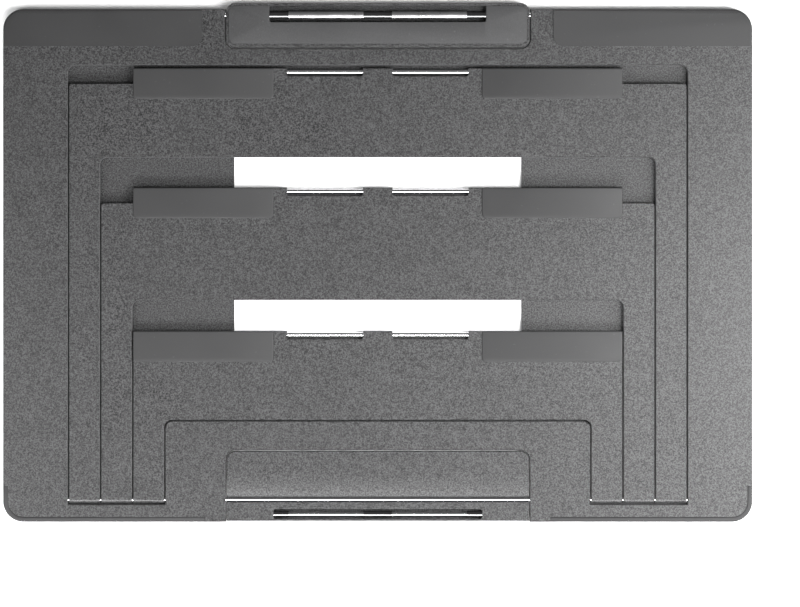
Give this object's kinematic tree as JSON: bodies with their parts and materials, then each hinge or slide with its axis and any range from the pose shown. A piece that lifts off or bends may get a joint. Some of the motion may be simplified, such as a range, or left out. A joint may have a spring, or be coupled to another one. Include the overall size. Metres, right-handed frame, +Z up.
{
  "type": "laptop stand",
  "caption": "Flat folding laptop stand: coated metal plate with nested swing-out legs of different lengths, a flip-up front lip, a rear flap and rubber feet.",
  "frame": {"origin": "middle of the underside of the folded stand, which lies on its laptop side", "axes": "+X across the stand, +Y towards its front edge and lip, +Z up out of the leg side"},
  "size_m": [0.33, 0.2286, 0.0052],
  "materials": {
    "coated_metal": "satin, under a fine textured dark grey powder coat",
    "foot_rubber": "smooth matte",
    "lip_rubber": "fine matte",
    "polished_steel": "polished",
    "satin_steel": "satin"
  },
  "bodies": {
    "plate": {"laptop_plate": "coated_metal", "bay_frame": "coated_metal", "front_pad_left": "foot_rubber", "front_pad_right": "foot_rubber", "rear_bumper_left": "foot_rubber", "rear_bumper_right": "foot_rubber", "hinge_rod": "polished_steel", "lip_rod": "polished_steel"},
    "front_lip": {"lip_shell": "coated_metal", "lip_rubber": "lip_rubber", "lip_sleeve_left": "polished_steel", "lip_sleeve_middle": "polished_steel", "lip_sleeve_right": "polished_steel", "lip_roller_left": "satin_steel", "lip_roller_right": "satin_steel"},
    "rear_flap": {"flap_plate": "coated_metal", "flap_rod": "polished_steel", "flap_sleeve_left": "polished_steel", "flap_sleeve_middle": "polished_steel", "flap_sleeve_right": "polished_steel"},
    "tall_leg": {"tall_leg_frame": "coated_metal", "tall_leg_pad_left": "foot_rubber", "tall_leg_pad_right": "foot_rubber", "tall_leg_edge_rod": "polished_steel"},
    "middle_leg": {"middle_leg_frame": "coated_metal", "middle_leg_pad_left": "foot_rubber", "middle_leg_pad_right": "foot_rubber", "middle_leg_edge_rod": "polished_steel"},
    "short_leg": {"short_leg_frame": "coated_metal", "short_leg_pad_left": "foot_rubber", "short_leg_pad_right": "foot_rubber", "short_leg_edge_rod": "polished_steel"}
  },
  "joints": [
    {"name": "tall_leg_swing", "type": "hinge", "parent": "plate", "child": "tall_leg", "pos_m": [0, -0.1044, 0.003], "axis": [1, 0, 0], "range_deg": [0, 100]},
    {"name": "middle_leg_swing", "type": "hinge", "parent": "plate", "child": "middle_leg", "pos_m": [0, -0.1044, 0.003], "axis": [1, 0, 0], "range_deg": [0, 100]},
    {"name": "short_leg_swing", "type": "hinge", "parent": "plate", "child": "short_leg", "pos_m": [0, -0.1044, 0.003], "axis": [1, 0, 0], "range_deg": [0, 100]},
    {"name": "front_lip_flip", "type": "hinge", "parent": "plate", "child": "front_lip", "pos_m": [0, 0.109, 0.0026], "axis": [1, 0, 0], "range_deg": [0, 90]},
    {"name": "rear_flap_flip", "type": "hinge", "parent": "plate", "child": "rear_flap", "pos_m": [0, -0.1044, 0.003], "axis": [-1, 0, 0], "range_deg": [0, 90]}
  ]
}
